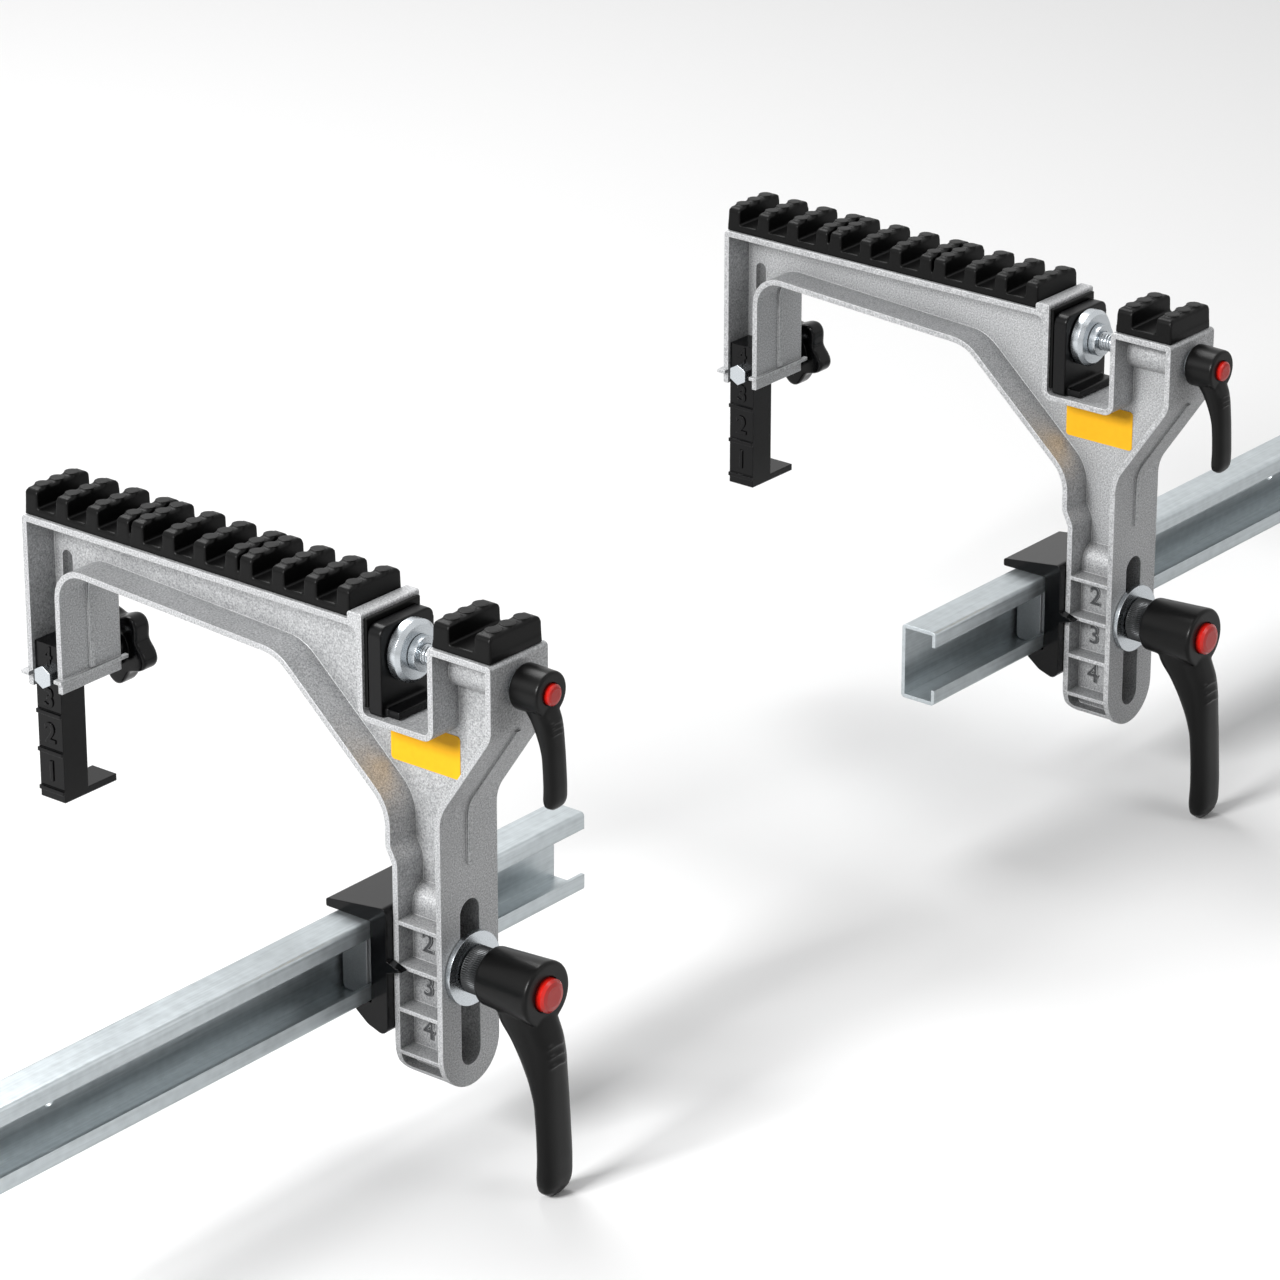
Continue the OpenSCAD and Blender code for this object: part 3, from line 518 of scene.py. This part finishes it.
def revolved(profile, centre, around, radial=None):
    # Profile of (distance along y, radius) turned about y; radial(angle, distance) adds to the radius
    along, radius = np.array(profile, float).T
    angle = turnAngles(around)
    r = np.broadcast_to(radius[:, None], (len(radius), around))
    if radial is not None:
        r = r + radial(angle, along[:, None])
    y = np.broadcast_to(along[:, None], r.shape)
    return closedGrid(np.stack([r * np.cos(angle), y, r * np.sin(angle)], -1) + np.array(centre, float))


def middle(node):
    # Middle of a part's box
    low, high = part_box(node)
    return (low + high) / 2


# Clamping levers: a round hub with a recess for the button, and a bowed arm with three grip ridges
lever = {
    # length of the hub, its diameters at the insert and at the button, the arm's width and thickness
    "clamp": {"hub": 33 * mm, "back": 28.4 * mm, "face": 32.0 * mm, "width": 20 * mm, "thick": 10.0 * mm,
              "voxel": 0.5 * mm},
    "jaw": {"hub": 16.4 * mm, "back": 22.0 * mm, "face": 21.4 * mm, "width": 13 * mm, "thick": 6.8 * mm,
            "voxel": 0.35 * mm},
    # arm rings: share of its length, middle as a share of the hub, how much of the neck is left, size
    "rings": [(0.02, 0.58, 1, 1), (0.1, 0.6, 1, 1), (0.165, 0.68, 1, 1), (0.22, 0.8, 0.8, 1),
              (0.32, 0.92, 0.5, 1), (0.42, 1.0, 0.2, 1), (0.52, 1.06, 0.03, 1), (0.66, 1.09, 0, 1),
              (0.8, 1.11, 0.02, 1), (0.92, 1.1, 0.06, 1), (0.97, 1.085, 0.02, 0.84), (1.0, 1.08, 0, 0.4)],
    "neckDepth": 0.39, "neckFlare": 0.17, "squareness": 2.8,
    "rows": 60, "shaftEnds": (0.02, 0.95), "tipRows": (0.965, 0.978, 0.988, 0.995, 1.0), "around": 48,
    "blend": (1, 2, 3, 2, 1), "blended": slice(2, -7),  # weights of a moving mean, and the rows it evens out
    "smoothing": 9, "hubAround": 120, "hubEdge": 0.08, "hubCorner": 0.3,
    "buttonGap": 0.2 * mm, "buttonDepth": 0.45, "recessEdge": 0.3 * mm,
    # grip ridges: shares of the arm's length, and of its half width
    "ridges": (0.235, 0.28, 0.325), "ridgeRadius": 0.0085, "ridgeBow": 0.012, "ridgeWidth": 0.62,
    "ridgeRows": 21, "ridgeAround": 12, "ridgeTaper": 0.02,
}


def armShape(v, w, share):
    # Middle, half width and half thickness at shares of the arm, straight between the given rings
    place, centre, neck, size = np.array(v["rings"]).T
    centre, neck, size = (np.interp(share, place, q) for q in (centre, neck, size))
    halfWidth = size * w["width"] / 2 * (1 + v["neckFlare"] * neck)
    halfThick = size * (neck * v["neckDepth"] * w["hub"] + (1 - neck) * w["thick"] / 2)
    return centre * w["hub"], halfWidth, halfThick


def ridgeTube(v, w, armLength, share):
    # A tube across the arm's front at a share of its length: its middle bows upwards with the square of x
    centre, halfWidth, halfThick = armShape(v, w, share)
    t = np.linspace(-1, 1, v["ridgeRows"])
    x = v["ridgeWidth"] * halfWidth * t
    y = -centre - halfThick * (1 - np.abs(x / halfWidth) ** v["squareness"]) ** (1 / v["squareness"])
    z = -armLength * (share + v["ridgeBow"] * t ** 2)
    radius = armLength * v["ridgeRadius"] * np.sqrt(np.clip(1 - t ** 4, v["ridgeTaper"], 1))
    a = turnAngles(v["ridgeAround"])
    return np.stack([np.broadcast_to(x[:, None], (len(t), len(a))), y[:, None] + radius[:, None] * np.cos(a),
                     z[:, None] + radius[:, None] * np.sin(a)], -1)


def leverHub(v, w, button, origin):
    # A cone between the two diameters, broken at its edges, with a flat-bottomed hole for the button
    back, face, length = w["back"] / 2, w["face"] / 2, w["hub"]
    hole = (button[1].x - button[0].x) / 2 + v["buttonGap"]
    recess = length - v["buttonDepth"] * (button[1].y - button[0].y)
    edge, lip = v["hubEdge"] * face, v["recessEdge"]
    corner = v["hubCorner"] * edge
    profile = [(0, 0), (0, back - edge), (-edge, back), (-length + edge, face),
               (-length + corner, face - corner), (-length, face - edge),
               (-length, hole + lip), (-length + lip, hole), (-recess, hole), (-recess, 0)]
    return revolved(profile, origin, v["hubAround"])


def leverArm(v, w, armLength, origin):
    # Rings along the arm, each a rounded rectangle: |x / half width| and |y / half thickness|, both raised to
    # the squareness, add up to 1
    share = np.concatenate([np.linspace(*v["shaftEnds"], v["rows"]), v["tipRows"]])
    centre, halfWidth, halfThick = armShape(v, w, share)
    blend = np.array(v["blend"]) / sum(v["blend"])
    for q in (centre, halfWidth, halfThick):
        q[v["blended"]] = np.convolve(q, blend, "same")[v["blended"]]
    a = turnAngles(v["around"])
    power = 2 / v["squareness"]
    x = halfWidth[:, None] * np.sign(np.cos(a)) * np.abs(np.cos(a)) ** power
    y = -centre[:, None] + halfThick[:, None] * np.sign(np.sin(a)) * np.abs(np.sin(a)) ** power
    z = np.broadcast_to(-armLength * share[:, None], x.shape)
    return closedGrid(np.stack([x, y, z], -1) + origin)


def buildLever(side, kind, v):
    # Hub, arm and ridges overlap as closed shells, and melt into one casting
    node = f"{side}_{kind}_lever"
    w = v[kind]
    low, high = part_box(node)
    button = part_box(f"{side}_{kind}_button")
    hubX = (button[0].x + button[1].x) / 2
    hubZ = (button[0].z + button[1].z) / 2
    origin = np.array([hubX, high.y, hubZ])
    armLength = hubZ - low.z
    shells = [leverHub(v, w, button, origin), leverArm(v, w, armLength, origin)]
    shells += [closedGrid(ridgeTube(v, w, armLength, share) + origin) for share in v["ridges"]]
    obj = joined(node + "_cast", shells, leverPaint)
    melted(obj, w["voxel"], v["smoothing"])
    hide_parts(node)
    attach(obj, f"{side}_clamp_handle" if kind == "clamp" else f"{side}_screw")


for side in sides:
    buildLever(side, "clamp", lever)
    buildLever(side, "jaw", lever)
print("stage 4: levers")


# Threaded spindle: the radius falls and rises once per pitch along the axis, shifted by the angle
spindle = {
    "pitch": 1.75 * mm,  # a little finer than the 2 mm that the jaw travels in a turn
    "depth": 1.0 * mm, "step": 0.16 * mm, "around": 72, "chamfer": 0.8 * mm,
    "plainEnd": 1.5 * mm, "tipEdge": 0.4 * mm, "neck": 0.7, "tip": 0.62,  # the last two: shares of the radius
}


def buildSpindle(side, v):
    # The thin tip that turns in the pressure disc, then the threaded rod, from the collar's disc side on
    node = f"{side}_jaw_spindle"
    low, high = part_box(node)
    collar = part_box(f"{side}_spindle_collar")
    axis = middle(f"{side}_spindle_collar")
    shoulder = collar[1].y
    radius = (high.z - low.z) / 2
    tip = high.y - shoulder
    length = shoulder - low.y
    neck = v["neck"] * radius
    profile = [(tip, 0), (tip, v["tip"] * radius), (tip - v["tipEdge"], neck), (0.0, neck)]
    profile += [(-t, radius) for t in np.arange(0, length, v["step"])]
    profile += [(-length, radius - v["chamfer"]), (-length, 0)]

    def thread(angle, along):
        turn = (along / v["pitch"] + angle / (2 * math.pi)) % 1
        groove = v["depth"] * (1 - np.abs(2 * turn - 1))
        return np.where((along < -v["chamfer"]) & (along > -length + v["plainEnd"]), -groove, 0)

    made = revolved(profile, (axis.x, shoulder, axis.z), v["around"], thread)
    obj = joined(node + "_thread", [made], zinc)
    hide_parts(node)
    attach(obj, f"{side}_screw")


# Splined insert of the big lever: fine straight teeth round its outside, as a cosine of the angle
insert = {
    "splines": 64, "depth": 0.6 * mm, "perSpline": 8, "collar": 1.0 * mm, "chamfer": 0.5 * mm,
    "step": 0.05 * mm, "plainEnd": 0.1 * mm, "endShare": 0.97,
}


def buildInsert(side, v):
    # A plain collar, and teeth from there to the lever's hub
    node = f"{side}_clamp_insert"
    low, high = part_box(node)
    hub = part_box(f"{side}_clamp_lever")[1].y
    axis = middle(node)
    radius = (high.z - low.z) / 2
    exposed = high.y - hub

    def teeth(angle, along):
        wave = 0.5 + 0.5 * np.cos(v["splines"] * angle)
        toothed = (along < -v["collar"]) & (along > -exposed + v["plainEnd"])
        return np.where(toothed, -v["depth"] * wave, 0)

    step = v["step"]
    profile = [(0, 0), (0, radius - v["chamfer"]), (-v["chamfer"], radius), (-v["collar"] + step, radius),
               (-v["collar"] - step, radius), (-exposed + 4 * step, radius),
               (-exposed + step, radius * v["endShare"]), (-exposed, 0)]
    made = revolved(profile, (axis.x, high.y, axis.z), v["splines"] * v["perSpline"], teeth)
    obj = joined(node + "_splined", [made], blackened)
    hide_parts(node)
    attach(obj, f"{side}_clamp_handle")


# Star knob: a crown whose radius swells five times a turn, more at the rim than at the neck
knob = {
    "lobes": 5, "lobe": 2.6 * mm, "around": 160, "steps": 5, "smoothing": 3,
    # along the axis as a share of its thickness, radius and lobe weight as shares of the rim's
    "rows": [(0, 0.0, 0), (0, 0.5, 0), (0.02, 0.54, 0), (0.29, 0.54, 0), (0.3, 0.56, 0), (0.31, 0.84, 0.7),
             (0.32, 0.94, 0.9), (0.35, 0.98, 1), (0.4, 1.0, 1), (0.6, 1.0, 1), (0.82, 1.0, 1),
             (0.9, 0.97, 0.97), (0.96, 0.91, 0.88), (0.99, 0.82, 0.7), (1.0, 0.66, 0.4), (0.995, 0.5, 0.1),
             (0.97, 0.42, 0), (0.96, 0.2, 0), (0.96, 0.0, 0)],
}


def buildKnob(side, v):
    # Each ring's radius is its share of the rim's, plus its share of the lobe times the cosine of five times
    # the angle
    node = f"{side}_foot_knob"
    low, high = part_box(node)
    thick = high.x - low.x
    bolt = middle(f"{side}_foot_bolt")
    rim = (bolt.z - low.z) - v["lobe"]
    share, radius, weight = np.array(v["rows"]).T
    given = np.arange(len(share))
    row = np.linspace(0, len(share) - 1, v["steps"] * len(share))  # straight between the given rows
    share, radius, weight = (np.interp(row, given, q) for q in (share, radius, weight))
    a = turnAngles(v["around"])
    r = radius[:, None] * rim + v["lobe"] * weight[:, None] * np.cos(v["lobes"] * a)
    x = np.broadcast_to(low.x + thick * share[:, None], r.shape)
    grid = np.stack([x, bolt.y + r * np.sin(a), bolt.z - r * np.cos(a)], -1)
    obj = joined(node + "_crown", [closedGrid(grid)], blackNylon)
    melted(obj, None, v["smoothing"])
    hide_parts(node)
    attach(obj, f"{side}_knob")


for side in sides:
    buildSpindle(side, spindle)
    buildInsert(side, insert)
    buildKnob(side, knob)
print("stage 5: spindles, inserts and knobs")


# Rubber pads, liner and jaw: the moulded forms with every edge melted round
moulded = {
    "comb_pads": {"voxel": 0.65 * mm, "smoothing": 3, "slot": "pad_rubber", "body": "station"},
    "front_pad": {"voxel": 0.55 * mm, "smoothing": 4, "slot": "pad_rubber", "body": "station"},
    "jaw_liner": {"voxel": 0.4 * mm, "smoothing": 4, "slot": "pad_rubber", "body": "station"},
    "moving_jaw": {"voxel": 0.5 * mm, "smoothing": 6, "slot": "jaw_plastic", "body": "jaw"},
}


def buildMoulded(side, kind, v):
    # A copy of the part, merged and melted
    node = f"{side}_{kind}"
    mesh = nodes[node].data.copy()
    mesh.name = node + "_rounded"
    obj = bpy.data.objects.new(node + "_rounded", mesh)
    scene.collection.objects.link(obj)
    outward(obj)
    melted(obj, v["voxel"], v["smoothing"])
    obj.data.materials.clear()
    obj.data.materials.append(nodeMaterials[kind])
    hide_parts(node)
    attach(obj, f"{side}_{v['body']}")


# Round studs on the teeth: low caps with a crisp rim, three to a tooth
stud = {
    "pads": ("comb_pads", "front_pad"), "gap": 0.8 * mm, "topSlack": 0.05 * mm, "around": 36,
    # share of the radius and height over the pad's top, in mm
    "profile": [(0.96, -1.6), (0.98, -0.5), (1.0, -0.2), (0.98, -0.06), (0.92, 0.0), (0.86, -0.02),
                (0.8, -0.24), (0.4, -0.18)],
}


def spans(values, gap):
    # Middles and half width of the runs of sorted values that lie closer together than the gap
    values = np.unique(np.round(values, 6))
    cuts = np.flatnonzero(np.diff(values) > gap)
    first, last = values[np.r_[0, cuts + 1]], values[np.r_[cuts, len(values) - 1]]
    return (first + last) / 2, (last - first).max() / 2


def addStuds(side, kind, v):
    # The highest points of the part give each stud's middle and radius, and its cap is turned about z
    node = f"{side}_{kind}"
    points = meshPoints(nodes[node].data)
    top = points[:, 2].max()
    rim = points[points[:, 2] > top - v["topSlack"]]
    xs = spans(rim[:, 0], v["gap"])[0]
    ys, radius = spans(rim[:, 1], v["gap"])
    share, height = np.array(v["profile"]).T
    a = turnAngles(v["around"])
    r = radius * share[:, None]
    z = np.broadcast_to(height[:, None] * mm, r.shape[:1] + a.shape)
    ring = np.stack([r * np.cos(a), r * np.sin(a), z], -1)
    caps = [closedGrid(ring + np.array((x, y, top))) for x in xs for y in ys]
    obj = joined(node + "_studs", caps, nodeMaterials[kind])
    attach(obj, f"{side}_station")
    return len(caps)


studs = 0
for side in sides:
    for kind, v in moulded.items():
        buildMoulded(side, kind, v)
    studs += sum(addStuds(side, kind, stud) for kind in stud["pads"])
print("stage 6: rounded pads and jaws,", studs, "studs")


# Numerals cast and moulded beside the scales, read from the left
numeral = {
    # "out" is how far the face that carries the figures lies from the casting's middle, towards -X
    "stem": {"texts": ("2", "3", "4"), "height": 10.5 * mm, "raised": 0.8 * mm,
             "out": 9.8 * mm, "y": -43.5 * mm, "z": (11.2 * mm, -11.0 * mm, -33.0 * mm)},
    "foot": {"texts": ("4", "3", "2", "1"), "height": 10.5 * mm, "raised": 0.6 * mm, "out": 18.3 * mm,
             "z": (96.0 * mm, 73.6 * mm, 55.5 * mm, 35.5 * mm), "topShare": 0.86},
    "bold": 0.022, "sunk": 0.1 * mm,
}


def buildNumeral(v, name, text, height, raised, centre, material):
    # A figure with thickness, scaled to its height, turned to face -X, its back just under the surface
    data = bpy.data.curves.new("numeral_" + text, "FONT")
    data.body = text
    data.size = 1.0
    data.offset = v["bold"]
    data.extrude = 0.5
    figure = bpy.data.objects.new("numeral_" + text, data)
    scene.collection.objects.link(figure)
    mesh = bpy.data.meshes.new_from_object(figure.evaluated_get(bpy.context.evaluated_depsgraph_get()))
    bpy.data.objects.remove(figure)
    bpy.data.curves.remove(data)
    points = meshPoints(mesh)
    low, high = points.min(0), points.max(0)
    flat = (points - (low + high) / 2) * (height / (high[1] - low[1]))
    depth = np.where(points[:, 2] > 0, -raised, v["sunk"])
    placed = np.stack([depth, -flat[:, 0], flat[:, 1]], -1) + np.array(centre)
    mesh.vertices.foreach_set("co", placed.ravel())
    mesh.materials.clear()
    mesh.materials.append(material)
    mesh.update()
    obj = bpy.data.objects.new(name, mesh)
    scene.collection.objects.link(obj)
    return obj


def addNumerals(side, v):
    frameMiddle = middle(f"{side}_frame").x
    stem, foot = v["stem"], v["foot"]
    for text, z in zip(stem["texts"], stem["z"]):
        obj = buildNumeral(v, f"{side}_stem_numeral_{text}", text, stem["height"], stem["raised"],
                           (frameMiddle - stem["out"], stem["y"], z), aluminiumFiguresShaded)
        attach(obj, f"{side}_station")
    y = middle(f"{side}_foot_bolt").y
    for text, z in zip(foot["texts"], foot["z"]):
        height = foot["height"] * (foot["topShare"] if text == foot["texts"][0] else 1)
        obj = buildNumeral(v, f"{side}_foot_numeral_{text}", text, height, foot["raised"],
                           (frameMiddle - foot["out"], y, z), blackNylon)
        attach(obj, f"{side}_foot")


# Bare yellow plate on the web under the jaw opening
plate = {"y": (-57.5 * mm, -16.0 * mm), "z": (93.5 * mm, 115.0 * mm), "radius": 2.0 * mm, "cornerPoints": 9,
         "thick": 0.3 * mm, "sunk": 0.05 * mm, "web": 2.0 * mm}  # web: half its thickness


def addPlate(side, v):
    # Rounded rectangle: each corner is a quarter circle, drawn as an outline and given its thickness
    x = middle(f"{side}_frame").x - v["web"]
    r = v["radius"]
    a = np.linspace(0, math.pi / 2, v["cornerPoints"])
    corners = [(v["y"][1] - r, v["z"][1] - r, 0), (v["y"][0] + r, v["z"][1] - r, 1),
               (v["y"][0] + r, v["z"][0] + r, 2), (v["y"][1] - r, v["z"][0] + r, 3)]
    turned = [(cy, cz, a + q * math.pi / 2) for cy, cz, q in corners]
    outline = np.vstack([np.stack([cy + r * np.cos(b), cz + r * np.sin(b)], -1) for cy, cz, b in turned])
    n = len(outline)
    points = np.vstack([np.column_stack([np.full(n, x + v["sunk"]), outline]),
                        np.column_stack([np.full(n, x - v["thick"]), outline])])
    k = np.arange(n)
    faces = np.stack([k, (k + 1) % n, (k + 1) % n + n, k + n], -1).tolist()
    faces += [list(range(n)), list(range(n, 2 * n))]
    obj = makeMesh(f"{side}_web_plate", points, faces, yellow, False)
    outward(obj)
    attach(obj, f"{side}_station")


for side in sides:
    addNumerals(side, numeral)
    addPlate(side, plate)
print("stage 7: numerals and plates")


# Floor, its size in metres
floor = {"size": 14.0, "colour": "#f4f4f4", "bounce": "#8c8c8c", "roughness": 0.9, "under": 0.5 * mm}


def addFloor(v):
    # Seamless paper sweep: matte, pale to the eye and in metal, darker for the light it throws back up
    mat, tree, shader = newMaterial("paper_sweep_pale")[:3]
    tone = addNode(tree, "ShaderNodeMix",
                   {"data_type": "RGBA", 6: hexColour(v["bounce"]), 7: hexColour(v["colour"])},
                   {0: backgroundRays(tree)})
    tree.links.new(tone.outputs[2], shader.inputs["Base Color"])
    shader.inputs["Roughness"].default_value = v["roughness"]
    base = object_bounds()[0].z - v["under"]
    s = v["size"] / 2
    corners = [(-s, -s, base), (s, -s, base), (s, s, base), (-s, s, base)]
    obj = makeMesh("floor", corners, [(0, 1, 2, 3)], mat, False)
    obj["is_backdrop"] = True


addFloor(floor)
